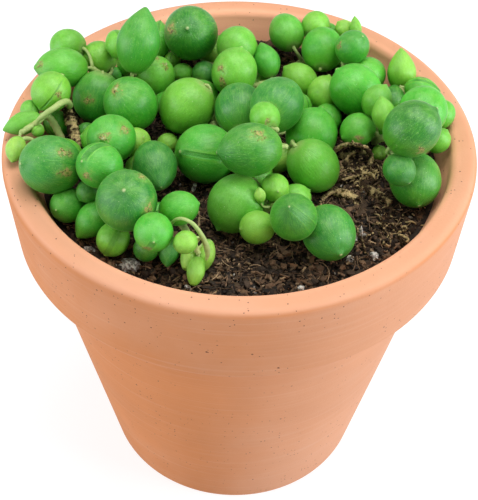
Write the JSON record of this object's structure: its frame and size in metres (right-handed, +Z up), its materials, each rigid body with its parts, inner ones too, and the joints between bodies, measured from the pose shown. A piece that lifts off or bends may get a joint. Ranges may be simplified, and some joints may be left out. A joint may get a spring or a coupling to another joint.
{
  "type": "potted string of pearls plant",
  "caption": "Small trailing succulent with round, pointed, bead-like leaves on thin stems, growing in soil in a plain terracotta pot with a collar rim.",
  "frame": {"origin": "centre of the pot's base, on the plane it stands on", "axes": "+Z up along the pot's axis; -Y is the side the picture is taken from; +X is to the right there"},
  "size_m": [0.082, 0.082, 0.0884],
  "materials": {
    "terracotta": "unglazed orange terracotta, matte, with faint turning lines and small pits",
    "soil": "dark brown peat with bark, fibres and pale mineral grains, matte",
    "leaf": "smooth waxy green leaf with a soft bloom",
    "dry_stem": "dry tan bark, matte"
  },
  "bodies": {
    "root": {"pot": "terracotta", "soil": "soil", "stem_west": "leaf", "stem_north_west": "leaf", "stem_back_left": "leaf", "stem_back": "leaf", "stem_back_middle": "leaf", "stem_back_right": "leaf", "stem_right_back": "leaf", "stem_right_rim": "leaf", "stem_right_middle": "leaf", "stem_right_front": "leaf", "stem_centre": "leaf", "stem_centre_right": "leaf", "stem_centre_left": "leaf", "stem_left_middle": "leaf", "stem_left_front": "leaf", "stem_front_left": "leaf", "stem_new_growth": "leaf", "stem_front": "leaf", "bare_stem_left": "dry_stem", "bare_stem_arch": "dry_stem", "bare_stem_front": "dry_stem", "bare_stem_right": "dry_stem"}
  },
  "joints": []
}
